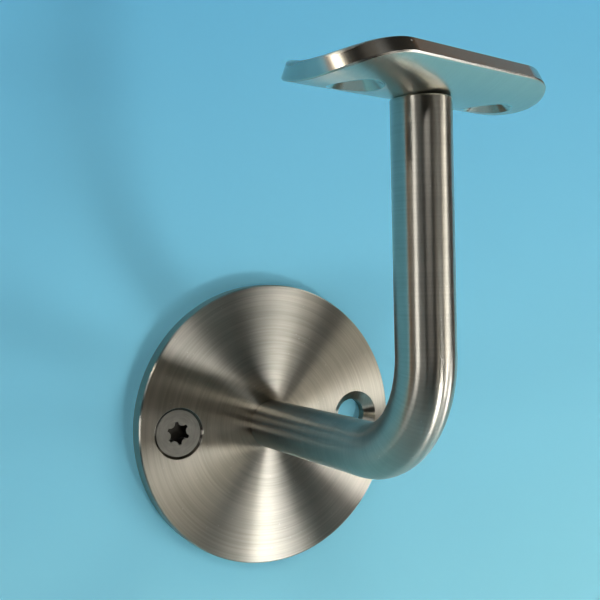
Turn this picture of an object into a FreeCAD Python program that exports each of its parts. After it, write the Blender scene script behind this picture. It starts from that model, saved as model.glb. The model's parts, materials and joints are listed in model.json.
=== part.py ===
"""Handrail bracket: a round wall plate, a bent round arm and a turned cradle that the rail lies in.

The frame is right-handed, in millimetres, with +Z up. Its origin is the centre of the wall plate's
back face. That face lies in the plane Y = 0 and looks along +Y, into the wall, and the bracket
reaches out along -Y. The rail runs roughly along X.

Six separate pieces: the plate, the arm, the cradle, one wall screw, and two countersunk screws that
pull the plate and the cradle onto the arm's flat ends.
"""
import FreeCAD, Part
import math
import os
import Sketcher
from FreeCAD import Placement, Rotation, Vector

doc = FreeCAD.newDocument("HandrailBracket")

# ---------------------------------------------------------------- driving dimensions
SIZES = [
    # alias, number (millimetres, degrees for a turn), meaning
    ("plate_d", 70.0, "wall plate: diameter"),
    ("plate_thick", 5.0, "wall plate: thickness"),
    ("rim_margin", 10.0, "wall plate: middle of a screw hole from the plate's rim"),
    ("hole_d", 8.0, "wall plate: screw hole, through"),
    ("sink_d", 12.6, "M6 countersinks: diameter at the face"),
    ("arm_d", 12.0, "arm: diameter of the round bar"),
    ("arm_reach", 70.5, "arm: wall to the middle of the upright"),
    ("arm_rise", 70.5, "arm: middle of the level run to the flat top"),
    ("bend_radius", 21.5, "arm: bend, measured on the bar's centreline"),
    ("tap_deep_plate", 14.0, "arm: depth of the tapped bore at the plate"),
    ("tap_deep_cradle", 12.0, "arm: depth of the tapped bore at the cradle"),
    ("rail_radius", 25.4, "cradle: radius of the rail that it takes"),
    ("sheet_thick", 3.5, "cradle: thickness of the sheet"),
    ("cradle_long", 60.0, "cradle: length along the rail"),
    ("cradle_wide", 28.0, "cradle: width, measured round the middle of the sheet"),
    ("corner_radius", 12.4, "cradle: rounding of its four corners"),
    ("cradle_turn", 15.3, "cradle: turn about the upright, seen from above"),
    ("rail_hole_space", 40.0, "cradle: distance between the two rail screw holes"),
    ("rail_hole_shift", 1.5, "cradle: how far that pair sits from the arm, along the rail"),
    ("rail_hole_d", 5.5, "cradle: rail screw hole, through"),
    ("rail_sink_d", 10.4, "cradle: countersink of a rail screw hole, on the underside"),
    ("m6_d", 6.0, "M6 screws: shank"),
    ("m6_head_d", 11.3, "M6 screws: head"),
    ("m6_clear_d", 6.6, "wall plate: middle hole, through"),
    ("wall_screw_long", 30.0, "wall screw: length over all"),
    ("plate_screw_long", 16.0, "plate screw: length over all"),
    ("m5_d", 5.0, "M5 cradle screw: shank"),
    ("m5_head_d", 9.2, "M5 cradle screw: head"),
    ("m5_clear_d", 5.5, "cradle: middle hole, through"),
    ("m5_sink_d", 9.8, "cradle: countersink of the middle hole, on the rail side"),
    ("cradle_screw_long", 12.0, "cradle screw: length over all"),
    ("head_rim", 0.2, "screw heads: upright rim above the cone"),
    ("neck_part", 0.88, "screws: plain neck under the head, as a part of the shank's diameter"),
    ("neck_end_part", 0.8, "screws: face of the head to the full shank, as a part of its diameter"),
    ("tip_part", 0.75, "screws: diameter of the tip, as a part of the shank's"),
    ("tap_play", 0.1, "tapped bores: how much wider than the plain shank"),
    ("lobe_outer_part", 0.5, "six-lobe recess: outer diameter as a part of the head's"),
    ("lobe_inner_part", 0.705, "six-lobe recess: inner diameter as a part of its outer one"),
    ("lobe_flank_part", 0.207, "six-lobe recess: radius of a flank as a part of its outer diameter"),
    ("lobe_deep_part", 0.22, "six-lobe recess: depth as a part of the head's diameter"),
    ("lobe_turn", 8.0, "wall screw: turn of its recess"),
    ("edge_break", 0.3, "small bevel that takes the sharpness off an edge"),
    ("overcut", 1.0, "how far a cut runs past the face that it opens on"),
]

sheet = doc.addObject("Spreadsheet::Sheet", "Sizes")
for row, (alias, number, meaning) in enumerate(SIZES, start=1):
    sheet.set(f"A{row}", meaning)
    sheet.set(f"B{row}", str(number))
    sheet.setAlias(f"B{row}", alias)
doc.recompute()


def size(alias):
    """One driving dimension, as a number."""
    return float(getattr(sheet, alias))


# ---------------------------------------------------------------- bodies and sketches
def new_body(name):
    body = doc.addObject("PartDesign::Body", name)
    body.Label = name
    return body


def origin_plane(body, role):
    return next(item for item in body.Origin.OriginFeatures if item.Role == role)


def new_sketch(body, name, role, **offsets):
    """A sketch on an origin plane of its body, moved by formulas along its own x, y or z."""
    sketch = body.newObject("Sketcher::SketchObject", name)
    sketch.AttachmentSupport = [(origin_plane(body, role), "")]
    sketch.MapMode = "FlatFace"
    for letter, formula in offsets.items():
        sketch.setExpression(f"AttachmentOffset.Base.{letter}", formula)
    doc.recompute()
    return sketch


def bind(sketch, formula, kind, *where):
    """Add one dimension to a sketch and tie it to a formula on the sheet's cells."""
    index = sketch.addConstraint(Sketcher.Constraint(kind, *where))
    sketch.setExpression(f"Constraints[{index}]", formula)


def pin(sketch, line, end, across, up):
    """Tie one end of a line or arc to its place, measured from the sketch's origin."""
    spot = sketch.getPoint(line, end)
    bind(sketch, across, "DistanceX", -1, 1, line, end, spot.x)
    bind(sketch, up, "DistanceY", -1, 1, line, end, spot.y)


def add_polygon(sketch, corners):
    """A closed outline with straight sides. Each corner is a pair of formulas: across, up."""
    count = len(corners)
    turns = [2 * math.pi * number / count for number in range(count)]
    ring = [Vector(math.cos(turn), math.sin(turn), 0) for turn in turns]
    for number in range(count):
        sketch.addGeometry(Part.LineSegment(ring[number], ring[(number + 1) % count]))
    for number in range(count):
        sketch.addConstraint(Sketcher.Constraint("Coincident", number, 2, (number + 1) % count, 1))
    for number, (across, up) in enumerate(corners):
        pin(sketch, number, 1, across, up)
    doc.recompute()


def add_circle(sketch, diameter, across="0 mm", up="0 mm"):
    """A circle whose diameter and centre are formulas."""
    circle = sketch.addGeometry(Part.Circle(Vector(), Vector(0, 0, 1), 1.0))
    bind(sketch, diameter, "Diameter", circle, 2.0)
    pin(sketch, circle, 3, across, up)
    doc.recompute()


def volume_of(body):
    doc.recompute()
    return body.Shape.Volume


def cut_round(body, name, role, corners, **offsets):
    """Turn a half profile about the sketch's upright axis and take it out of the body."""
    before = volume_of(body)
    sketch = new_sketch(body, name + "Profile", role, **offsets)
    add_polygon(sketch, corners)
    groove = body.newObject("PartDesign::Groove", name)
    groove.Profile = sketch
    groove.ReferenceAxis = (sketch, ["V_Axis"])
    groove.Angle = 360
    body.Tip = groove
    if volume_of(body) >= before:
        raise ValueError(f"{name} took nothing away from {body.Label}")
    return groove


def break_edges(body, name, kind, wanted, formula):
    """Chamfer or fillet the edges for which wanted(edge) is true."""
    doc.recompute()
    edges = body.Shape.Edges
    names = [f"Edge{number}" for number, edge in enumerate(edges, start=1) if wanted(edge)]
    if not names:
        raise ValueError(f"{name} found no edge on {body.Label}")
    carrier = body.Tip
    feature = body.newObject(f"PartDesign::{kind}", name)
    feature.Base = (carrier, names)
    feature.setExpression("Radius" if kind == "Fillet" else "Size", formula)
    body.Tip = feature
    doc.recompute()
    return feature


def is_ring(edge, radius, near=1e-3):
    """True for a full circle of this radius."""
    return hasattr(edge.Curve, "Radius") and edge.isClosed() and abs(edge.Curve.Radius - radius) < near


# ---------------------------------------------------------------- wall plate
HOLE_PLACE = "(Sizes.plate_d / 2 - Sizes.rim_margin)"


def make_wall_plate():
    """A turned disc with two countersunk wall holes and one countersunk on its back for the arm."""
    body = new_body("wall_plate")
    disc = new_sketch(body, "DiscOutline", "XZ_Plane")
    add_circle(disc, "Sizes.plate_d")
    pad = body.newObject("PartDesign::Pad", "Disc")
    pad.Profile = disc
    pad.setExpression("Length", "Sizes.plate_thick")
    body.Tip = pad
    doc.recompute()
    break_edges(body, "RimBevel", "Chamfer",
                lambda edge: is_ring(edge, size("plate_d") / 2), "Sizes.edge_break")
    wall_hole = cut_round(body, "WallHole", "XY_Plane", [
        ("0", "-Sizes.plate_thick - Sizes.overcut"),
        ("Sizes.sink_d / 2 + Sizes.overcut", "-Sizes.plate_thick - Sizes.overcut"),
        ("Sizes.hole_d / 2", "-Sizes.plate_thick + (Sizes.sink_d - Sizes.hole_d) / 2"),
        ("Sizes.hole_d / 2", "Sizes.overcut"),
        ("0", "Sizes.overcut"),
    ], x=HOLE_PLACE)
    before = body.Shape.Volume
    pair = body.newObject("PartDesign::Mirrored", "WallHolePair")
    pair.Originals = [wall_hole]
    pair.MirrorPlane = (origin_plane(body, "YZ_Plane"), [""])
    body.Tip = pair
    if volume_of(body) >= before:
        raise ValueError("the second wall hole is missing")
    cut_round(body, "ArmHole", "XY_Plane", [
        ("0", "Sizes.overcut"),
        ("Sizes.sink_d / 2 + Sizes.overcut", "Sizes.overcut"),
        ("Sizes.m6_clear_d / 2", "(Sizes.m6_clear_d - Sizes.sink_d) / 2"),
        ("Sizes.m6_clear_d / 2", "-Sizes.plate_thick - Sizes.overcut"),
        ("0", "-Sizes.plate_thick - Sizes.overcut"),
    ])
    return body


# ---------------------------------------------------------------- arm
def make_arm():
    """A round bar swept along its bent centreline, bored and tapped in both flat ends."""
    body = new_body("arm")
    bar_end = new_sketch(body, "BarSection", "XZ_Plane", z="Sizes.plate_thick")
    add_circle(bar_end, "Sizes.arm_d")

    line = new_sketch(body, "Centreline", "YZ_Plane")
    reach, rise, bend = size("arm_reach"), size("arm_rise"), size("bend_radius")
    wall_end = Vector(-size("plate_thick"), 0, 0)
    bend_low = Vector(bend - reach, 0, 0)
    bend_high = Vector(-reach, bend, 0)
    middle = Vector(bend - reach, bend, 0)
    quarter = Part.ArcOfCircle(Part.Circle(middle, Vector(0, 0, 1), bend), math.pi, 1.5 * math.pi)
    line.addGeometry(Part.LineSegment(wall_end, bend_low))
    line.addGeometry(quarter)
    line.addGeometry(Part.LineSegment(bend_high, Vector(-reach, rise, 0)))
    line.addConstraint(Sketcher.Constraint("Coincident", 0, 2, 1, 2))
    line.addConstraint(Sketcher.Constraint("Coincident", 1, 1, 2, 1))
    pin(line, 0, 1, "-Sizes.plate_thick", "0")
    pin(line, 0, 2, "Sizes.bend_radius - Sizes.arm_reach", "0")
    pin(line, 2, 1, "-Sizes.arm_reach", "Sizes.bend_radius")
    pin(line, 2, 2, "-Sizes.arm_reach", "Sizes.arm_rise")
    bind(line, "Sizes.bend_radius", "Radius", 1, bend)
    doc.recompute()

    bar = body.newObject("PartDesign::AdditivePipe", "Bar")
    bar.Profile = bar_end
    bar.Spine = (line, ["Edge1", "Edge2", "Edge3"])
    body.Tip = bar
    doc.recompute()

    def at_an_end(edge):
        middle_of = edge.BoundBox.Center
        on_plate = abs(middle_of.y + size("plate_thick")) < 1e-3
        on_top = abs(middle_of.z - rise) < 1e-3
        return is_ring(edge, size("arm_d") / 2) and (on_plate or on_top)

    break_edges(body, "EndBevels", "Chamfer", at_an_end, "Sizes.edge_break")
    drill_tip = math.tan(math.radians(31))
    cut_round(body, "PlateTap", "XY_Plane", [
        ("0", "-Sizes.plate_thick + Sizes.overcut"),
        ("(Sizes.m6_d + Sizes.tap_play) / 2", "-Sizes.plate_thick + Sizes.overcut"),
        ("(Sizes.m6_d + Sizes.tap_play) / 2", "-Sizes.plate_thick - Sizes.tap_deep_plate"),
        ("0", f"-Sizes.plate_thick - Sizes.tap_deep_plate - {drill_tip:.4f} * Sizes.m6_d / 2"),
    ])
    cut_round(body, "CradleTap", "XZ_Plane", [
        ("0", "Sizes.arm_rise + Sizes.overcut"),
        ("(Sizes.m5_d + Sizes.tap_play) / 2", "Sizes.arm_rise + Sizes.overcut"),
        ("(Sizes.m5_d + Sizes.tap_play) / 2", "Sizes.arm_rise - Sizes.tap_deep_cradle"),
        ("0", f"Sizes.arm_rise - Sizes.tap_deep_cradle - {drill_tip:.4f} * Sizes.m5_d / 2"),
    ], z="Sizes.arm_reach")
    return body


# ---------------------------------------------------------------- cradle
HALF_ANGLE = "(Sizes.cradle_wide / (2 * Sizes.rail_radius + Sizes.sheet_thick) * 180 / pi)"


def make_cradle():
    """A strip of sheet bent round the rail. Its edges stand square to the sheet all the way round.

    Its own origin is the lowest point of the underside, where it rests on the arm.
    """
    body = new_body("rail_cradle")
    section = new_sketch(body, "SheetSection", "YZ_Plane")
    inner, thick = size("rail_radius"), size("sheet_thick")
    outer = inner + thick
    half = size("cradle_wide") / (2 * inner + thick)
    rail_middle = Vector(0, outer, 0)
    start, end = 1.5 * math.pi - half, 1.5 * math.pi + half
    for radius in (outer, inner):
        circle = Part.Circle(rail_middle, Vector(0, 0, 1), radius)
        section.addGeometry(Part.ArcOfCircle(circle, start, end))
    for side in (1, 2):
        section.addGeometry(Part.LineSegment(section.getPoint(0, side), section.getPoint(1, side)))
        section.addConstraint(Sketcher.Constraint("Coincident", 1 + side, 1, 0, side))
        section.addConstraint(Sketcher.Constraint("Coincident", 1 + side, 2, 1, side))
    outer_text = "(Sizes.rail_radius + Sizes.sheet_thick)"
    for arc, radius_text in ((0, outer_text), (1, "Sizes.rail_radius")):
        bind(section, radius_text, "Radius", arc, (outer, inner)[arc])
        for side, sign in ((1, "-"), (2, "")):
            pin(section, arc, side, f"{sign}{radius_text} * sin({HALF_ANGLE})",
                f"{outer_text} - {radius_text} * cos({HALF_ANGLE})")
    doc.recompute()

    strip = body.newObject("PartDesign::Pad", "Strip")
    strip.Profile = section
    strip.setExpression("Length", "Sizes.cradle_long")
    strip.SideType = "Symmetric"
    body.Tip = strip
    doc.recompute()

    def across_the_sheet(edge):
        straight = isinstance(edge.Curve, (Part.Line, Part.LineSegment))
        return straight and abs(edge.Length - thick) < 1e-3

    break_edges(body, "RoundCorners", "Fillet", across_the_sheet, "Sizes.corner_radius")

    def on_the_outline(edge):
        """Edges of the long and round outline, on the sheet's two broad faces."""
        ends = [vertex.Point for vertex in edge.Vertexes]
        radii = [math.hypot(spot.y, spot.z - outer) for spot in ends]
        on_face = [min(abs(radius - inner), abs(radius - outer)) < 1e-3 for radius in radii]
        one_face = abs(radii[0] - radii[-1]) < 1e-3
        return all(on_face) and one_face

    break_edges(body, "EdgeBevel", "Chamfer", on_the_outline, "Sizes.edge_break")

    for number, sign in enumerate(("-", "+"), start=1):
        cut_round(body, f"RailHole{number}", "XZ_Plane", [
            ("0", "-Sizes.overcut"),
            ("Sizes.rail_sink_d / 2 + Sizes.overcut", "-Sizes.overcut"),
            ("Sizes.rail_hole_d / 2", "(Sizes.rail_sink_d - Sizes.rail_hole_d) / 2"),
            ("Sizes.rail_hole_d / 2", "Sizes.sheet_thick + Sizes.overcut"),
            ("0", "Sizes.sheet_thick + Sizes.overcut"),
        ], x=f"Sizes.rail_hole_shift {sign} Sizes.rail_hole_space / 2")
    cut_round(body, "ArmHoleCradle", "XZ_Plane", [
        ("0", "Sizes.sheet_thick + Sizes.overcut"),
        ("Sizes.m5_sink_d / 2 + Sizes.overcut", "Sizes.sheet_thick + Sizes.overcut"),
        ("Sizes.m5_clear_d / 2", "Sizes.sheet_thick - (Sizes.m5_sink_d - Sizes.m5_clear_d) / 2"),
        ("Sizes.m5_clear_d / 2", "-Sizes.overcut"),
        ("0", "-Sizes.overcut"),
    ])
    body.setExpression("Placement.Base.y", "-Sizes.arm_reach")
    body.setExpression("Placement.Base.z", "Sizes.arm_rise")
    body.Placement.Rotation = Rotation(Vector(0, 0, 1), size("cradle_turn"))
    body.setExpression("Placement.Rotation.Angle", "Sizes.cradle_turn")
    return body


# ---------------------------------------------------------------- screws
def add_flank(sketch, outer_text, outer):
    """The lens between the round mouth of a recess and one flank that bulges into it."""
    bulge = size("lobe_flank_part")
    middle = size("lobe_inner_part") / 2 + bulge
    half = math.acos((0.25 + middle ** 2 - bulge ** 2) / middle)
    corner = math.atan2(math.sin(half) / 2, math.cos(half) / 2 - middle)
    flank = Part.Circle(Vector(outer * middle, 0, 0), Vector(0, 0, 1), outer * bulge)
    mouth = Part.Circle(Vector(), Vector(0, 0, 1), outer / 2)
    sketch.addGeometry(Part.ArcOfCircle(flank, corner, 2 * math.pi - corner))
    sketch.addGeometry(Part.ArcOfCircle(mouth, -half, half))
    sketch.addConstraint(Sketcher.Constraint("Coincident", 0, 1, 1, 2))
    sketch.addConstraint(Sketcher.Constraint("Coincident", 0, 2, 1, 1))
    middle_text = "(Sizes.lobe_inner_part / 2 + Sizes.lobe_flank_part)"
    half_text = f"acos((0.25 + {middle_text}^2 - Sizes.lobe_flank_part^2) / {middle_text})"
    bind(sketch, f"{outer_text} * Sizes.lobe_flank_part", "Radius", 0, outer * bulge)
    bind(sketch, f"{outer_text} / 2", "Radius", 1, outer / 2)
    for end, sign in ((1, "-"), (2, "")):
        pin(sketch, 1, end, f"{outer_text} / 2 * cos({half_text})",
            f"{sign}{outer_text} / 2 * sin({half_text})")
    doc.recompute()


def make_screw(name, shank, head, length):
    """A countersunk screw on its own Z axis, with the face of the head at Z = 0 and the tip below.

    Its six-lobe recess is a round pocket with six flanks built back into it.
    """
    body = new_body(name)
    profile = new_sketch(body, name + "_profile", "XZ_Plane")
    full = f"Sizes.{shank}"
    neck = f"{full} * Sizes.neck_part"
    tip = f"{full} * Sizes.tip_part"
    neck_end = f"-{full} * Sizes.neck_end_part"
    add_polygon(profile, [
        ("0", "0"),
        (f"Sizes.{head} / 2", "0"),
        (f"Sizes.{head} / 2", "-Sizes.head_rim"),
        (f"{neck} / 2", f"-Sizes.head_rim - (Sizes.{head} - {neck}) / 2"),
        (f"{neck} / 2", f"{neck_end} + ({full} - {neck}) / 2"),
        (f"{full} / 2", neck_end),
        (f"{full} / 2", f"-Sizes.{length} + ({full} - {tip}) / 2"),
        (f"{tip} / 2", f"-Sizes.{length}"),
        ("0", f"-Sizes.{length}"),
    ])
    turned = body.newObject("PartDesign::Revolution", name + "_turned")
    turned.Profile = profile
    turned.ReferenceAxis = (profile, ["V_Axis"])
    turned.Angle = 360
    body.Tip = turned
    before = volume_of(body)

    outer = f"Sizes.{head} * Sizes.lobe_outer_part"
    depth = f"Sizes.{head} * Sizes.lobe_deep_part"
    mouth = new_sketch(body, name + "_mouth", "XY_Plane")
    add_circle(mouth, outer)
    recess = body.newObject("PartDesign::Pocket", name + "_recess")
    recess.Profile = mouth
    recess.setExpression("Length", depth)
    body.Tip = recess
    after = volume_of(body)
    if after >= before:
        raise ValueError(f"the recess of {name} took nothing away")

    flank = new_sketch(body, name + "_flank", "XY_Plane")
    add_flank(flank, outer, size(head) * size("lobe_outer_part"))
    fill = body.newObject("PartDesign::Pad", name + "_fill")
    fill.Profile = flank
    fill.Reversed = True
    fill.setExpression("Length", depth)
    body.Tip = fill
    doc.recompute()
    ring = body.newObject("PartDesign::PolarPattern", name + "_flanks")
    ring.Originals = [fill]
    ring.Axis = (flank, ["N_Axis"])
    ring.Occurrences = 6
    ring.Angle = 360
    body.Tip = ring
    if not after < volume_of(body) < before:
        raise ValueError(f"the flanks of {name} are not inside its recess")
    return body


def sink_depth(sink, head):
    """How far the face of a head lies below the face that its countersink opens on."""
    return f"((Sizes.{sink} - Sizes.{head}) / 2 - Sizes.head_rim)"


def make_screws():
    wall = make_screw("wall_screw", "m6_d", "m6_head_d", "wall_screw_long")
    facing_out = Rotation(Vector(1, 0, 0), 90)
    wall.Placement = Placement(Vector(), facing_out * Rotation(Vector(0, 0, 1), size("lobe_turn")))
    wall.setExpression("Placement.Base.x", f"-{HOLE_PLACE}")
    wall.setExpression("Placement.Base.y", f"-Sizes.plate_thick + {sink_depth('sink_d', 'm6_head_d')}")

    plate = make_screw("plate_screw", "m6_d", "m6_head_d", "plate_screw_long")
    plate.Placement = Placement(Vector(), Rotation(Vector(1, 0, 0), -90))
    plate.setExpression("Placement.Base.y", f"-{sink_depth('sink_d', 'm6_head_d')}")

    cradle = make_screw("cradle_screw", "m5_d", "m5_head_d", "cradle_screw_long")
    cradle.setExpression("Placement.Base.y", "-Sizes.arm_reach")
    cradle.setExpression("Placement.Base.z", "Sizes.arm_rise + Sizes.sheet_thick"
                         f" - {sink_depth('m5_sink_d', 'm5_head_d')}")
    return [wall, plate, cradle]


# ---------------------------------------------------------------- build, check, write
bodies = [make_wall_plate(), make_arm(), make_cradle(), *make_screws()]
doc.recompute()

for item in doc.Objects:
    if {"Invalid", "Error"} & set(item.State):
        raise ValueError(f"{item.Label} failed: {item.State}")
for body in bodies:
    shape = body.Shape
    if shape.isNull() or not shape.isValid() or len(shape.Solids) != 1:
        raise ValueError(f"{body.Label} is not one valid solid")

os.makedirs("parts", exist_ok=True)
for body in bodies:
    body.Shape.exportStep(f"parts/{body.Label}.step")
    box = body.Shape.BoundBox
    print(f"{body.Label}: volume {body.Shape.Volume:.1f} mm3, X {box.XMin:.2f} to {box.XMax:.2f},"
          f" Y {box.YMin:.2f} to {box.YMax:.2f}, Z {box.ZMin:.2f} to {box.ZMax:.2f}")
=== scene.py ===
# %% [markdown]
# # A handrail bracket in satin stainless steel
# The bracket is screwed to a wall by a round plate. A bent bar stands out from the plate and turns up, and a
# curved cradle on its end carries the rail. The solids come from CAD, so this lesson is mostly about finishes:
# turned grain on the plate, ground grain on the bar, a rolled sheet, duller screws, and the lamps that show
# them. One shape is added as well, the thread of the wall screw.

# %% Load the bracket
import json
import math
import bpy
import bmesh
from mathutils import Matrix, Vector

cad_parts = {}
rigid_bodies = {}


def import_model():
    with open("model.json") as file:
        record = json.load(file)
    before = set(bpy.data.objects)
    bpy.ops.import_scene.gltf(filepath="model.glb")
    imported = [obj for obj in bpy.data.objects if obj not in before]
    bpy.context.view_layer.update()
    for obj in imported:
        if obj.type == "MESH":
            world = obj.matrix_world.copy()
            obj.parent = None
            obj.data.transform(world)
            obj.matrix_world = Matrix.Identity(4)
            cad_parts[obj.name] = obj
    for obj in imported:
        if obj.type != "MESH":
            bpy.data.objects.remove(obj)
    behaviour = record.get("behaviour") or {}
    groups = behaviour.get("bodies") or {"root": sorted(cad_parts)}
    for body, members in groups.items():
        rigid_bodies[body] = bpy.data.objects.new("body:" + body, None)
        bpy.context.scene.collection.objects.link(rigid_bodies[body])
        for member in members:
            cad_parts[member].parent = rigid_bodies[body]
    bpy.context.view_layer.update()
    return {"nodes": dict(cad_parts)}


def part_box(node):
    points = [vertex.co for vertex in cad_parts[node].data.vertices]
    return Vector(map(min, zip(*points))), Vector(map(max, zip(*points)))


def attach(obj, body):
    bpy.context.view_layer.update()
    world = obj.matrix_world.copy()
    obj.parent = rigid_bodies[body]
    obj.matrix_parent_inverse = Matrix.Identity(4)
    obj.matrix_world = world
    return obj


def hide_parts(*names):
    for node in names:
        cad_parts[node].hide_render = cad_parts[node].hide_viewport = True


for thing in list(bpy.data.objects):
    bpy.data.objects.remove(thing)
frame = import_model()
node = frame["nodes"]
print("pieces:", sorted(node))

# %% [markdown]
# ## Short words for node trees
# A material is a tree of nodes joined by links. Writing each node out in full would bury the idea, so a few
# small helpers do the typing. One feeds a socket with a link or a plain value, and one makes a node. Four more
# are short for common nodes: a sum of numbers, a sum of vectors, a vector joined from numbers, a mixed colour.
# Another gives the place of the shaded point in the bracket's own frame. The last makes a named group.

# %% Helpers for node trees
GIVES_NUMBER = ("LENGTH", "DOT_PRODUCT")


def feed(tree, socket, value):
    if isinstance(value, bpy.types.NodeSocket):
        tree.links.new(value, socket)
    elif value is not None:
        socket.default_value = value


def add(tree, kind, inputs=(), **settings):
    made = tree.nodes.new(kind)
    for name, value in settings.items():
        setattr(made, name, value)
    for place, value in enumerate(inputs):
        feed(tree, made.inputs[place], value)
    return made


def calc(tree, operation, *inputs):
    return add(tree, "ShaderNodeMath", inputs, operation=operation).outputs[0]


def vector(tree, operation, *inputs):
    made = add(tree, "ShaderNodeVectorMath", inputs, operation=operation)
    return made.outputs["Value" if operation in GIVES_NUMBER else "Vector"]


def joined(tree, x, y, z):
    return add(tree, "ShaderNodeCombineXYZ", (x, y, z)).outputs[0]


def mixed(tree, share, first, second):
    made = add(tree, "ShaderNodeMix", data_type="RGBA")
    for label, value in (("Factor", share), ("A", first), ("B", second)):
        feed(tree, made.inputs[label], (*value, 1.0) if isinstance(value, tuple) else value)
    return made.outputs["Result"]


def own_place(tree):
    return tree.nodes.new("ShaderNodeTexCoord").outputs["Object"]


def new_group(name, kind, inputs, outputs):
    tree = bpy.data.node_groups.new(name, kind)
    for label, socket, value in inputs:
        made = tree.interface.new_socket(label, in_out="INPUT", socket_type=socket)
        if value is not None:
            made.default_value = value
    for label, socket in outputs:
        tree.interface.new_socket(label, in_out="OUTPUT", socket_type=socket)
    return tree, tree.nodes.new("NodeGroupInput").outputs, tree.nodes.new("NodeGroupOutput").inputs


print("helpers ready")

# %% [markdown]
# ## Grain left by grinding
# A belt or a turning tool leaves thousands of hair-fine parallel lines. Modelling them would take millions of
# faces, so a noise pattern is squeezed hard in one direction, which turns its blobs into lines. One group does
# this for every piece: it takes a place that has already been bent to the piece's own direction. It gives the
# fine lines and, from the same place made wider, the broader bands that a worn belt leaves.

# %% The grain group
GRAIN, given, out = new_group(
    "fine grain", "ShaderNodeTree",
    [("Place", "NodeSocketVector", None), ("Lines per metre", "NodeSocketFloat", 2200.0),
     ("Stretch", "NodeSocketFloat", 60.0)],
    [("Grain", "NodeSocketFloat"), ("Bands", "NodeSocketFloat")])
BAND_WIDENING = (0.12, 0.5, 0.5)
squeeze = joined(GRAIN, given["Lines per metre"], given["Stretch"], given["Stretch"])
squeezed = vector(GRAIN, "MULTIPLY", given["Place"], squeeze)
widened = vector(GRAIN, "MULTIPLY", squeezed, BAND_WIDENING)
for label, where, detail in (("Grain", squeezed, 1.5), ("Bands", widened, 2.0)):
    noise = add(GRAIN, "ShaderNodeTexNoise")
    for socket, value in (("Vector", where), ("Scale", 1.0), ("Detail", detail)):
        feed(GRAIN, noise.inputs[socket], value)
    feed(GRAIN, out[label], noise.outputs["Fac"])
print("fine grain:", len(GRAIN.nodes), "nodes")

# %% [markdown]
# ## Specks and handling marks
# Even a new bracket has a few specks of dust, and faint cloudy marks where it was wiped. Small cells with a
# random colour each give the specks: only the few cells whose colour is under a threshold get a dot in their
# middle. A soft large noise gives the clouds.

# %% The wear group
WEAR, given, out = new_group(
    "specks and clouds", "ShaderNodeTree",
    [("Place", "NodeSocketVector", None), ("Specks per metre", "NodeSocketFloat", 1300.0),
     ("Share with specks", "NodeSocketFloat", 0.035)],
    [("Specks", "NodeSocketFloat"), ("Clouds", "NodeSocketFloat")])
cells = add(WEAR, "ShaderNodeTexVoronoi", feature="F1")
DOT_RIM, DOT_CORE, CLOUDS_PER_METRE, CLOUD_DETAIL = 0.30, 0.12, 55.0, 3.0
feed(WEAR, cells.inputs["Vector"], given["Place"])
feed(WEAR, cells.inputs["Scale"], given["Specks per metre"])
luck = add(WEAR, "ShaderNodeSeparateXYZ", (cells.outputs["Color"],))
chosen = calc(WEAR, "LESS_THAN", luck.outputs[0], given["Share with specks"])
dot = add(WEAR, "ShaderNodeMapRange", interpolation_type="SMOOTHSTEP")
feed(WEAR, dot.inputs["Value"], cells.outputs["Distance"])
for label, value in (("From Min", DOT_RIM), ("From Max", DOT_CORE), ("To Min", 0.0), ("To Max", 1.0)):
    dot.inputs[label].default_value = value
feed(WEAR, out["Specks"], calc(WEAR, "MULTIPLY", chosen, dot.outputs[0]))
cloud = add(WEAR, "ShaderNodeTexNoise")
feed(WEAR, cloud.inputs["Vector"], given["Place"])
feed(WEAR, cloud.inputs["Scale"], CLOUDS_PER_METRE)
feed(WEAR, cloud.inputs["Detail"], CLOUD_DETAIL)
feed(WEAR, out["Clouds"], cloud.outputs["Fac"])
print("specks and clouds:", len(WEAR.nodes), "nodes")

# %% [markdown]
# ## One recipe for all the steel
# Brushed steel mirrors sharply along its lines and blurs across them, which the Principled shader calls
# anisotropic. The four finishes share this recipe: each gives its colour, its roughness, the place bent to its
# grain, and the tangent, the direction that tells the shader which way the blur goes.

# %% The steel recipe
DUST, DUST_SHARE, DUST_ROUGHNESS = (0.62, 0.60, 0.55), 0.8, 0.4
BAND_WEIGHT, GRAIN_WEIGHT, TONE_SHIFT = 0.8, 1.2, -0.5
LINE_DEPTH = 0.00002


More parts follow.
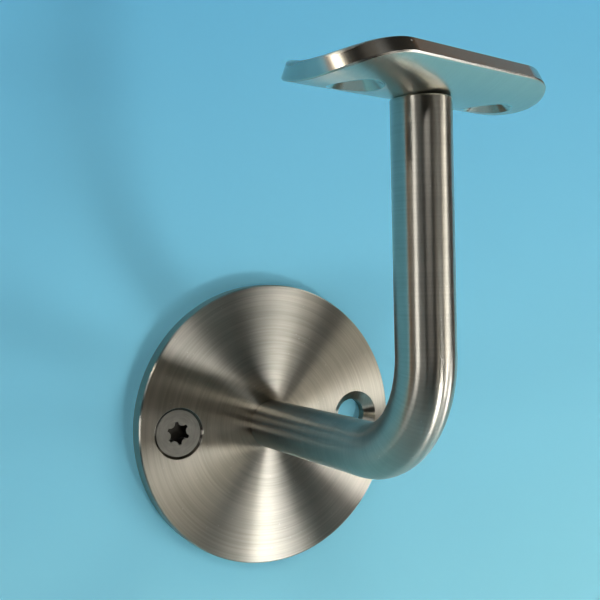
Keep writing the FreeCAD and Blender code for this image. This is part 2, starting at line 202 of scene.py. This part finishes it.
def steel(name, light, dark, rough, spread, anisotropic, bump, lines, stretch, bend_place):
    material = bpy.data.materials.new(name)
    material.use_nodes = True
    tree = material.node_tree
    shader = tree.nodes["Principled BSDF"]
    here = own_place(tree)
    place, tangent = bend_place(tree, here)
    grain = add(tree, "ShaderNodeGroup", node_tree=GRAIN)
    for label, value in (("Place", place), ("Lines per metre", lines), ("Stretch", stretch)):
        feed(tree, grain.inputs[label], value)
    wear = add(tree, "ShaderNodeGroup", node_tree=WEAR)
    feed(tree, wear.inputs["Place"], here)
    grain, bands = grain.outputs["Grain"], grain.outputs["Bands"]
    specks, clouds = wear.outputs["Specks"], wear.outputs["Clouds"]
    broad = calc(tree, "MULTIPLY_ADD", bands, BAND_WEIGHT, TONE_SHIFT)
    tone = calc(tree, "MULTIPLY_ADD", grain, GRAIN_WEIGHT, broad)
    metal = mixed(tree, tone, dark, light)
    dusty = mixed(tree, calc(tree, "MULTIPLY", specks, DUST_SHARE), metal, DUST)
    feed(tree, shader.inputs["Base Color"], dusty)
    matt = calc(tree, "MULTIPLY_ADD", grain, spread, rough - spread)
    cloudy = calc(tree, "MULTIPLY_ADD", clouds, spread, matt)
    feed(tree, shader.inputs["Roughness"], calc(tree, "MULTIPLY_ADD", specks, DUST_ROUGHNESS, cloudy))
    shader.inputs["Metallic"].default_value = 1.0
    shader.inputs["Anisotropic"].default_value = anisotropic
    feed(tree, shader.inputs["Tangent"], tangent)
    lift = add(tree, "ShaderNodeBump")
    lift.inputs["Strength"].default_value = bump
    lift.inputs["Distance"].default_value = LINE_DEPTH
    feed(tree, lift.inputs["Height"], grain)
    feed(tree, shader.inputs["Normal"], lift.outputs["Normal"])
    return material


print("recipe ready, lines", 1e6 * LINE_DEPTH, "micrometres deep at full strength")

# %% [markdown]
# ## Painted shade in hollows
# A drive recess and the gap round a screw's head see little light. Modelled shadow alone
# leaves them too bright, because steel mirrors what little comes in. So one more helper paints shade into
# the colour: it darkens it where a point lies near an axis and just under a face.

# %% Darken a hollow
# The first colour below is painted shade: the colour inside hollows is darkened towards it.
HOLLOW_SHADE, JUST_UNDER, DEEPEST = (0.02, 0.018, 0.015), 0.0001, 0.003


def paint_shade_in_hollow(look, face, outside, flat, radius, strength):
    tree = look.node_tree
    below = vector(tree, "SUBTRACT", own_place(tree), tuple(face))
    depth = calc(tree, "MULTIPLY", vector(tree, "DOT_PRODUCT", below, tuple(outside)), -1.0)
    aside = vector(tree, "LENGTH", vector(tree, "MULTIPLY", below, flat))
    hollow = calc(tree, "LESS_THAN", aside, radius)
    for limit in (calc(tree, "GREATER_THAN", depth, JUST_UNDER), calc(tree, "LESS_THAN", depth, DEEPEST)):
        hollow = calc(tree, "MULTIPLY", hollow, limit)
    colour = tree.nodes["Principled BSDF"].inputs["Base Color"]
    unshaded = colour.links[0].from_socket
    # Paint the shade into the base colour where the hollow mask is set.
    feed(tree, colour, mixed(tree, calc(tree, "MULTIPLY", hollow, strength), unshaded, HOLLOW_SHADE))


print("hollows are darkened down to", 1000 * DEEPEST, "mm")

# %% [markdown]
# ## The wall plate's turned grain
# The round plate was faced on a lathe or a turntable, so its lines are circles round its middle. Each line is
# a little mirror that throws light only across itself, and that is why every lamp shows as a pair of bright
# fans that meet in the middle. The distance from the plate's axis gives the circles. The direction outward
# from the axis gives the tangent, because the blur has to run across the lines. The helper above then paints
# shade into the gap round the screw's head.

# %% Turned finish
ACROSS_Y, ACROSS_Z = (1.0, 0.0, 1.0), (1.0, 1.0, 0.0)
OUT_OF_WALL = Vector((0.0, -1.0, 0.0))
SINK_RADIUS = 0.0066


def turned_about(centre, flat):
    def bend_place(tree, here):
        from_centre = vector(tree, "SUBTRACT", here, centre)
        outward = vector(tree, "MULTIPLY", from_centre, flat)
        heading = vector(tree, "NORMALIZE", outward)
        x, y, z = add(tree, "ShaderNodeSeparateXYZ", (heading,)).outputs
        return joined(tree, vector(tree, "LENGTH", outward), x, z if flat[2] else y), heading
    return bend_place


plate_steel = steel(
    "plate_steel_look", light=(0.54, 0.505, 0.43), dark=(0.36, 0.335, 0.28), rough=0.285, spread=0.01,
    anisotropic=1.0, bump=0.003, lines=2200.0, stretch=1.2,
    bend_place=turned_about((0.0, 0.0, 0.0), ACROSS_Y))
screw_low, screw_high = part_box("wall_screw")
screw_axis = (screw_low + screw_high) / 2
sink = (screw_axis.x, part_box("wall_plate")[0].y, 0.0)
# Painted shade in the countersink gap round the plate screw's head.
paint_shade_in_hollow(plate_steel, sink, OUT_OF_WALL, ACROSS_Y, SINK_RADIUS, strength=0.8)
node["wall_plate"].material_slots[0].material = plate_steel
print("plate finish:", len(plate_steel.node_tree.nodes), "nodes")

# %% [markdown]
# ## The bar's ground grain
# The bar was ground between wheels while it spun, so its lines run round it, also round the bend. The place is
# unrolled to follow the bar: the distance along the bar, and where a point sits round its middle. The bend's
# centre and radius make that one short formula. The tangent follows the bar too, again across the lines.

# %% Ground finish
arm_low, arm_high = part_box("arm")
BAR_RADIUS = arm_high.x
LEG_Y = arm_low.y + BAR_RADIUS
BEND = 0.0215
BEND_Y, BEND_Z = LEG_Y + BEND, BEND
print("bar radius", round(1000 * BAR_RADIUS, 2), "mm, upright leg at y", round(1000 * LEG_Y, 2), "mm")


def along_bar(tree, here):
    x, y, z = add(tree, "ShaderNodeSeparateXYZ", (here,)).outputs
    past_y, past_z = calc(tree, "SUBTRACT", y, BEND_Y), calc(tree, "SUBTRACT", z, BEND_Z)
    back, down = calc(tree, "MINIMUM", past_y, 0.0), calc(tree, "MINIMUM", past_z, 0.0)
    turned = calc(tree, "ARCTAN2", calc(tree, "MULTIPLY", back, -1.0), calc(tree, "MULTIPLY", down, -1.0))
    level = calc(tree, "MAXIMUM", past_y, 0.0)
    upright = calc(tree, "MAXIMUM", past_z, 0.0)
    run = calc(tree, "SUBTRACT", calc(tree, "MULTIPLY_ADD", turned, BEND, upright), level)
    reach = vector(tree, "LENGTH", joined(tree, 0.0, back, down))
    place = joined(tree, run, x, calc(tree, "SUBTRACT", reach, BEND))
    heading = joined(tree, 0.0, down, calc(tree, "MULTIPLY", back, -1.0))
    return place, vector(tree, "NORMALIZE", heading)


arm_steel = steel(
    "arm_steel_look", light=(0.47, 0.437, 0.373), dark=(0.378, 0.352, 0.30), rough=0.30, spread=0.02,
    anisotropic=0.9, bump=0.003, lines=2200.0, stretch=60.0, bend_place=along_bar)
node["arm"].material_slots[0].material = arm_steel

# %% [markdown]
# ## The cradle's rolled sheet
# The cradle was cut from sheet and rolled to the rail's curve. Its grain is finer than the plate's and runs
# across its length, so it looks smooth and silky, and it mirrors the bar softly from below. Its rim and the
# cones of its two holes were cut, so they are shinier: one mask unrolls the sheet and finds the points on its
# outline, and a second one finds the points in the cones.

# %% Rolled finish
def across_sheet(tree, here):
    return here, vector(tree, "NORMALIZE", joined(tree, 1.0, 0.0, 0.0))


cradle_steel = steel(
    "cradle_steel_look", light=(0.58, 0.545, 0.475), dark=(0.51, 0.48, 0.42), rough=0.30, spread=0.02,
    anisotropic=0.35, bump=0.0, lines=2500.0, stretch=120.0, bend_place=across_sheet)

# %% Shinier where it was cut
RAIL_MIDDLE, TURN = (0.0, LEG_Y, 0.0994), math.radians(15.3)
SHEET_RADIUS, HALF_LONG, HALF_WIDE, CORNER = 0.02715, 0.030, 0.014, 0.0124
HOLES_SHIFT, HOLES_HALF, CONE_RADIUS, UNDERSIDE = 0.0015, 0.020, 0.0053, 0.0256
RIM_DEPTH, SHINIER = 0.00015, -0.09
tree = cradle_steel.node_tree
spot = vector(tree, "SUBTRACT", own_place(tree), RAIL_MIDDLE)
run = vector(tree, "DOT_PRODUCT", spot, (math.cos(TURN), math.sin(TURN), 0.0))
off = vector(tree, "DOT_PRODUCT", spot, (-math.sin(TURN), math.cos(TURN), 0.0))
down = vector(tree, "DOT_PRODUCT", spot, (0.0, 0.0, -1.0))
unrolled = calc(tree, "MULTIPLY", calc(tree, "ARCTAN2", off, down), SHEET_RADIUS)
past = [calc(tree, "MAXIMUM", calc(tree, "SUBTRACT", calc(tree, "ABSOLUTE", way), half - CORNER), 0.0)
        for way, half in ((run, HALF_LONG), (unrolled, HALF_WIDE))]
rim = calc(tree, "GREATER_THAN", vector(tree, "LENGTH", joined(tree, *past, 0.0)), CORNER - RIM_DEPTH)
to_hole = calc(tree, "SUBTRACT", calc(tree, "ABSOLUTE", calc(tree, "SUBTRACT", run, HOLES_SHIFT)), HOLES_HALF)
near_hole = calc(tree, "LESS_THAN", vector(tree, "LENGTH", joined(tree, to_hole, off, 0.0)), CONE_RADIUS)
outer = calc(tree, "GREATER_THAN", vector(tree, "LENGTH", joined(tree, off, down, 0.0)), UNDERSIDE)
cut = calc(tree, "MAXIMUM", rim, calc(tree, "MULTIPLY", near_hole, outer))
matt = tree.nodes["Principled BSDF"].inputs["Roughness"]
feed(tree, matt, calc(tree, "MULTIPLY_ADD", cut, SHINIER, matt.links[0].from_socket))
node["rail_cradle"].material_slots[0].material = cradle_steel
print("cradle finish:", len(cradle_steel.node_tree.nodes), "nodes")

# %% [markdown]
# ## The screws' duller steel
# Screws are cold headed and tumbled, not polished, so they are rougher and a little greyer than the rest. The
# same recipe makes them, with circles about each screw's own middle, and shade is painted into the recess of
# each head.

# %% Screw finish
def screw_look(name, outside, flat, recess):
    low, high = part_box(name)
    centre = (low + high) / 2
    head = centre + outside * (abs(outside.dot(high - low)) / 2)
    look = steel(
        name + "_look", light=(0.28, 0.265, 0.23), dark=(0.19, 0.18, 0.155), rough=0.40, spread=0.05,
        anisotropic=0.0, bump=0.003, lines=2600.0, stretch=2.0, bend_place=turned_about(tuple(centre), flat))
    # Painted shade in the head's drive recess.
    paint_shade_in_hollow(look, head, outside, flat, recess, strength=0.85)
    node[name].material_slots[0].material = look
    print(name, "is centred at", [round(1000 * v, 2) for v in centre])
    return look


M6_RECESS, M5_RECESS = 0.0029, 0.0024
wall_look = screw_look("wall_screw", OUT_OF_WALL, ACROSS_Y, M6_RECESS)
screw_look("plate_screw", -OUT_OF_WALL, ACROSS_Y, M6_RECESS)
screw_look("cradle_screw", Vector((0.0, 0.0, 1.0)), ACROSS_Z, M5_RECESS)

# %% [markdown]
# ## The wall screw's thread
# A metric thread is one ridge wound round a thinner core, once for every millimetre. The CAD shank is plain,
# so here the core is made thinner and the ridge is added. A spiral curve gives the path, a small four-sided
# profile gives the ridge, and Geometry Nodes sweep one along the other. The foot of the ridge is sunk a little
# into the core, so that no slit shows. The ridge grows and fades at its ends, as a rolled thread does. Sizes
# are inputs of the tree, so another screw needs only other numbers.

# %% The thread tree
STEPS_A_TURN, SUNK_SHARE, FOOT_SHARE, TIP_SHARE = 48, -0.25, 0.44, 0.06
THREAD, given, out = new_group(
    "screw thread", "GeometryNodeTree",
    [("Core radius", "NodeSocketFloat", 0.00245), ("Crest radius", "NodeSocketFloat", 0.003),
     ("Pitch", "NodeSocketFloat", 0.001), ("Length", "NodeSocketFloat", 0.02),
     ("Fade", "NodeSocketFloat", 0.03), ("Steel", "NodeSocketMaterial", None)],
    [("Thread", "NodeSocketGeometry")])
turns = calc(THREAD, "DIVIDE", given["Length"], given["Pitch"])
helix = add(THREAD, "GeometryNodeCurveSpiral",
            (STEPS_A_TURN, turns, given["Core radius"], given["Core radius"], given["Length"], True))
depth = calc(THREAD, "SUBTRACT", given["Crest radius"], given["Core radius"])
sunk = calc(THREAD, "MULTIPLY", depth, SUNK_SHARE)
foot, tip = [calc(THREAD, "MULTIPLY", given["Pitch"], share) for share in (FOOT_SHARE, TIP_SHARE)]
print("path of the thread:", len(THREAD.nodes), "nodes")

# %% The ridge's profile, foot and tip
profile = add(THREAD, "GeometryNodeCurvePrimitiveQuadrilateral", mode="POINTS")
for label, out_by, half, side in (("Point 1", sunk, foot, -1.0), ("Point 2", depth, tip, -1.0),
                                  ("Point 3", depth, tip, 1.0), ("Point 4", sunk, foot, 1.0)):
    across = calc(THREAD, "MULTIPLY", half, side)
    feed(THREAD, profile.inputs[label], joined(THREAD, out_by, across, 0.0))
print("profile has four points")

# %% Sweep the profile along the spiral
steady = add(THREAD, "GeometryNodeSetCurveNormal", (helix.outputs["Curve"],), mode="Z_UP")
along = THREAD.nodes.new("GeometryNodeSplineParameter").outputs["Factor"]
to_end = calc(THREAD, "MINIMUM", along, calc(THREAD, "SUBTRACT", 1.0, along))
growth = calc(THREAD, "MINIMUM", calc(THREAD, "DIVIDE", to_end, given["Fade"]), 1.0)
ridge = add(THREAD, "GeometryNodeCurveToMesh",
            (steady.outputs["Curve"], profile.outputs["Curve"], growth, True))
laid = add(THREAD, "GeometryNodeTransform", (ridge.outputs["Mesh"],))
laid.inputs["Rotation"].default_value = (math.radians(-90), 0.0, 0.0)
real = add(THREAD, "GeometryNodeRealizeInstances", (laid.outputs["Geometry"],))
coat = add(THREAD, "GeometryNodeSetMaterial", (real.outputs["Geometry"],))
feed(THREAD, coat.inputs["Material"], given["Steel"])
feed(THREAD, out["Thread"], coat.outputs["Geometry"])
print("whole thread tree:", len(THREAD.nodes), "nodes")

# %% [markdown]
# ## The screw with its thread
# The head and its six-lobed drive keep their CAD shape. A copy of the mesh has its doubled corners merged, its
# shank is drawn in to the core, and the wound ridge is joined to it, all as one plain mesh. The normals stored
# with the CAD mesh no longer fit the merged corners, so they are dropped, and sharp edges are marked afresh.

# %% Wind one thread
CORE, CREST, PITCH = 0.00245, 0.003, 0.001
START, END = 0.0003, screw_high.y - 0.0008


def wound(length, steel_look):
    holder = bpy.data.objects.new("holder", bpy.data.meshes.new("holder"))
    bpy.context.scene.collection.objects.link(holder)
    winder = holder.modifiers.new("thread", "NODES")
    winder.node_group = THREAD
    chosen = {"Core radius": CORE, "Crest radius": CREST, "Pitch": PITCH, "Length": length,
              "Steel": steel_look}
    for item in THREAD.interface.items_tree:
        if item.in_out == "INPUT" and item.name in chosen:
            winder[item.identifier] = chosen[item.name]
    ready = bpy.context.evaluated_depsgraph_get()
    made = bpy.data.meshes.new_from_object(holder.evaluated_get(ready), depsgraph=ready)
    bpy.data.objects.remove(holder)
    return made


thread_mesh = wound(END - START, wall_look)
print("thread:", round((END - START) / PITCH, 1), "turns,", len(thread_mesh.polygons), "faces")

# %% Join it to the screw
SAME_CORNER, CRISP_ANGLE = 1e-6, math.radians(30)
shape = bmesh.new()
shape.from_mesh(node["wall_screw"].data)
bmesh.ops.remove_doubles(shape, verts=shape.verts, dist=SAME_CORNER)
for corner in shape.verts:
    out_by = Vector((corner.co.x - screw_axis.x, 0.0, corner.co.z - screw_axis.z))
    if corner.co.y > START / 2 and out_by.length > CORE:
        out_by.length = CORE
        corner.co.x, corner.co.z = screw_axis.x + out_by.x, screw_axis.z + out_by.z
old = set(shape.verts)
shape.from_mesh(thread_mesh)
for corner in shape.verts:
    if corner not in old:
        corner.co += Vector((screw_axis.x, START, screw_axis.z))
screw_mesh = bpy.data.meshes.new("threaded_wall_screw")
shape.to_mesh(screw_mesh)
shape.free()
stored_normals = screw_mesh.attributes.get("custom_normal")
if stored_normals:
    screw_mesh.attributes.remove(stored_normals)
screw_mesh.materials.clear()
screw_mesh.materials.append(wall_look)
screw_mesh.polygons.foreach_set("material_index", [0] * len(screw_mesh.polygons))
screw_mesh.shade_smooth()
screw_mesh.set_sharp_from_angle(angle=CRISP_ANGLE)
threaded = bpy.data.objects.new("threaded_wall_screw", screw_mesh)
bpy.context.scene.collection.objects.link(threaded)
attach(threaded, "root")
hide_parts("wall_screw")
print("threaded screw:", len(screw_mesh.polygons), "faces")

# %% [markdown]
# ## The wall and the floor
# The plate sits against a pale blue wall. The wall is a big flat sheet that starts just in front of the
# plate's back, and its colour is painted paler downward: painted light, for the room's light that is
# stronger low on the wall. Seen from behind it turns clear, so that the back of the bracket can be looked at
# too.

# %% Wall and floor
def flat_sheet(name, corners):
    mesh = bpy.data.meshes.new(name)
    mesh.from_pydata([Vector(c) for c in corners], [], [tuple(range(len(corners)))])
    sheet = bpy.data.objects.new(name, mesh)
    bpy.context.scene.collection.objects.link(sheet)
    return sheet


def painted(name, colour, mottle):
    material = bpy.data.materials.new(name)
    material.use_nodes = True
    tree = material.node_tree
    shader = tree.nodes["Principled BSDF"]
    noise = add(tree, "ShaderNodeTexNoise")
    feed(tree, noise.inputs["Vector"], own_place(tree))
    noise.inputs["Scale"].default_value = 4.0
    darker, paler = [tuple(c * (1 + sign * mottle) for c in colour) for sign in (-1, 1)]
    feed(tree, shader.inputs["Base Color"], mixed(tree, noise.outputs["Fac"], darker, paler))
    shader.inputs["Roughness"].default_value = 0.9
    shader.inputs["Specular IOR Level"].default_value = 0.1
    return material


WALL_Y, FLOOR_Z = -0.0006, -0.32
SIDE, TOP = 0.45, 0.40
FLOOR_FRONT, FLOOR_BACK = -0.4, 0.5
# Painted light: lower down, the wall's blue is mixed towards a paler colour.
PAINTED_LIGHT_SLOPE, PAINTED_LIGHT_START, PAINTED_LIGHT_COLOUR = (0.5, 0.0, -5.0), 0.58, (0.37, 0.87, 1.0)
wall_edges = ((-SIDE, FLOOR_Z), (SIDE, FLOOR_Z), (SIDE, TOP), (-SIDE, TOP))
wall = flat_sheet("wall", [(x, WALL_Y, z) for x, z in wall_edges])
wall_paint = painted("pale blue wall", (0.20, 0.66, 0.98), mottle=0.01)
tree = wall_paint.node_tree
wall_shader = tree.nodes["Principled BSDF"]
painted_light_share = calc(tree, "ADD", vector(tree, "DOT_PRODUCT", own_place(tree), PAINTED_LIGHT_SLOPE), PAINTED_LIGHT_START)
even = wall_shader.inputs["Base Color"].links[0].from_socket
feed(tree, wall_shader.inputs["Base Color"], mixed(tree, painted_light_share, even, PAINTED_LIGHT_COLOUR))
clear = add(tree, "ShaderNodeBsdfTransparent").outputs[0]
behind = add(tree, "ShaderNodeNewGeometry").outputs["Backfacing"]
either = add(tree, "ShaderNodeMixShader", (behind, wall_shader.outputs[0], clear))
feed(tree, tree.nodes["Material Output"].inputs["Surface"], either.outputs[0])
wall.data.materials.append(wall_paint)
floor_edges = ((-SIDE, FLOOR_FRONT), (SIDE, FLOOR_FRONT), (SIDE, FLOOR_BACK), (-SIDE, FLOOR_BACK))
floor = flat_sheet("floor", [(x, y, FLOOR_Z) for x, y in floor_edges])
floor.data.materials.append(painted("pale floor", (0.62, 0.78, 0.84), mottle=0.01))
print("wall", 2 * SIDE, "m wide and", round(TOP - FLOOR_Z, 2), "m high")

# %% [markdown]
# ## The dark studio in front
# Steel looks like steel because it mirrors both light and dark. The room in front of the wall is unlit, so a
# large dark box stands round the lamps, with brown panels round the wall. The camera doesn't see the box, and
# it belongs to the surroundings, not to the bracket.

# %% Dark studio
FAR, FRONT = 4.0, -3.5


def ring(side, low, high, y):
    return [(-side, y, low), (side, y, low), (side, y, high), (-side, y, high)]


def side_faces(first):
    return [(first + i, first + (i + 1) % 4, first + 4 + (i + 1) % 4, first + 4 + i) for i in range(4)]


hull = bpy.data.meshes.new("studio")
corners = ring(SIDE, FLOOR_Z, TOP, WALL_Y) + ring(FAR, -FAR, FAR, WALL_Y) + ring(FAR, -FAR, FAR, FRONT)
around, sides, front_face = side_faces(0), side_faces(4), (11, 10, 9, 8)
hull.from_pydata(corners, [], around + sides + [front_face])
studio = bpy.data.objects.new("studio", hull)
bpy.context.scene.collection.objects.link(studio)
hull.materials.append(painted("brown panels", (0.38, 0.20, 0.09), mottle=0.05))
hull.materials.append(painted("unlit room", (0.02, 0.018, 0.016), mottle=0.05))
hull.polygons.foreach_set("material_index", [0] * len(around) + [1] * (len(sides) + 1))
studio.visible_camera = False
print("studio box:", len(hull.polygons), "sides")

# %% [markdown]
# ## Lamps
# Steel shows what is round it, so a lamp's place decides where its mirror image falls. Each lamp is a soft
# square or strip that faces the bracket, given by its place, its width and height in metres, its brightness
# and its tint. Two lamps stand close, below and to the right, and the others about 1.8 m away. The power of a
# lamp grows with its area, so the brightness can be read as how white its mirror image is.
#
# This list wasn't made by hand. A separate fitting program picked the lamps from a grid of likely ones, gave
# their strengths and tints, and wrote the rows. Only small changes followed. It isn't an example to copy: in
# a scene of your own, start with three or four lamps that you place yourself.

# %% Lamps
AIM = Vector((0.0, -0.04, 0.02))
PLAIN, WARM, COOL = (1.0, 1.0, 1.0), (1.0, 0.95, 0.84), (0.95, 0.98, 1.0)
LAMPS = [
    ("low_left", (-0.74, -0.56, -1.54), 0.32, 1.17, 54.7, WARM),
    ("high_right", (1.28, -0.78, 1.05), 0.44, 0.44, 8.3, WARM),
    ("high_left", (-0.38, -1.46, 1.05), 0.57, 0.19, 12.3, PLAIN),
    ("level_left", (-1.62, -0.80, -0.14), 0.38, 0.38, 7.3, PLAIN),
    ("low_right", (1.30, -1.13, -0.60), 0.19, 0.19, 28.7, PLAIN),
    ("low_middle", (0.26, -0.42, -0.37), 0.12, 0.12, 60.5, COOL),
    ("level_right", (1.47, -1.07, -0.14), 0.57, 0.19, 7.4, COOL),
    ("high_left", (-1.55, -0.18, 0.92), 0.57, 0.19, 7.9, WARM),
    ("high_left", (-1.47, -0.89, 0.64), 0.44, 0.44, 2.1, COOL),
    ("low_right", (0.74, -1.32, -1.01), 0.19, 0.19, 9.8, WARM),
    ("high_right", (1.45, -1.06, 0.33), 0.19, 0.19, 9.4, WARM),
    ("level_right", (1.15, -1.41, -0.14), 0.19, 0.19, 7.5, WARM),
    ("high_middle", (0.04, -1.24, 1.36), 0.51, 0.51, 0.9, COOL),
    ("low_left", (-1.25, -1.29, -0.29), 0.57, 0.19, 1.8, COOL),
    ("low_left", (-1.45, -0.30, -1.01), 0.64, 0.64, 0.4, COOL),
    ("low_right", (0.69, -1.52, -0.74), 0.19, 0.57, 1.4, PLAIN),
    ("low_right", (0.53, -0.18, -0.23), 0.12, 0.12, 11.1, COOL),
    ("low_right", (0.30, -1.75, -0.45), 0.19, 0.57, 1.3, WARM),
    ("high_left", (-0.45, -0.82, 1.58), 0.64, 0.64, 0.1, WARM),
]


def lamp(name, place, wide, high, brightness, tint):
    name = f"{name}_{len(bpy.data.lights)}"
    light = bpy.data.lights.new(name, "AREA")
    light.shape, light.size, light.size_y = "RECTANGLE", wide, high
    light.energy, light.color = math.pi * wide * high * brightness, tint
    body = bpy.data.objects.new(name, light)
    body.location = place
    body.rotation_euler = (AIM - body.location).to_track_quat("-Z", "Y").to_euler()
    body.visible_camera = False
    bpy.context.scene.collection.objects.link(body)


for settings in LAMPS:
    lamp(*settings)
print(len(LAMPS), "lamps")

# %% [markdown]
# ## The surroundings and the camera
# The room behind the wall is pale and even, and it lights only the views from behind. The camera stands to the
# left of the bracket, a little above the plate's middle and about a quarter of a metre away, so the near
# cradle looks larger than it would from afar.

# %% World and camera
scene = bpy.context.scene
world = bpy.data.worlds.new("room")
scene.world = world
world.use_nodes = True
world.node_tree.nodes["Background"].inputs["Color"].default_value = (0.8, 0.83, 0.86, 1.0)
world.node_tree.nodes["Background"].inputs["Strength"].default_value = 0.9

view = bpy.data.cameras.new("camera")
view.lens, view.sensor_width = 57.9, 36.0
view.clip_start, view.clip_end = 0.01, 20.0
camera = bpy.data.objects.new("camera", view)
camera.location = (-0.11109, -0.22072, 0.03755)
camera.rotation_euler = [math.radians(turn) for turn in (88.464, 1.353, -29.146)]
scene.collection.objects.link(camera)
scene.camera = camera
scene.view_settings.view_transform = "Standard"
print("camera lens", view.lens, "mm")
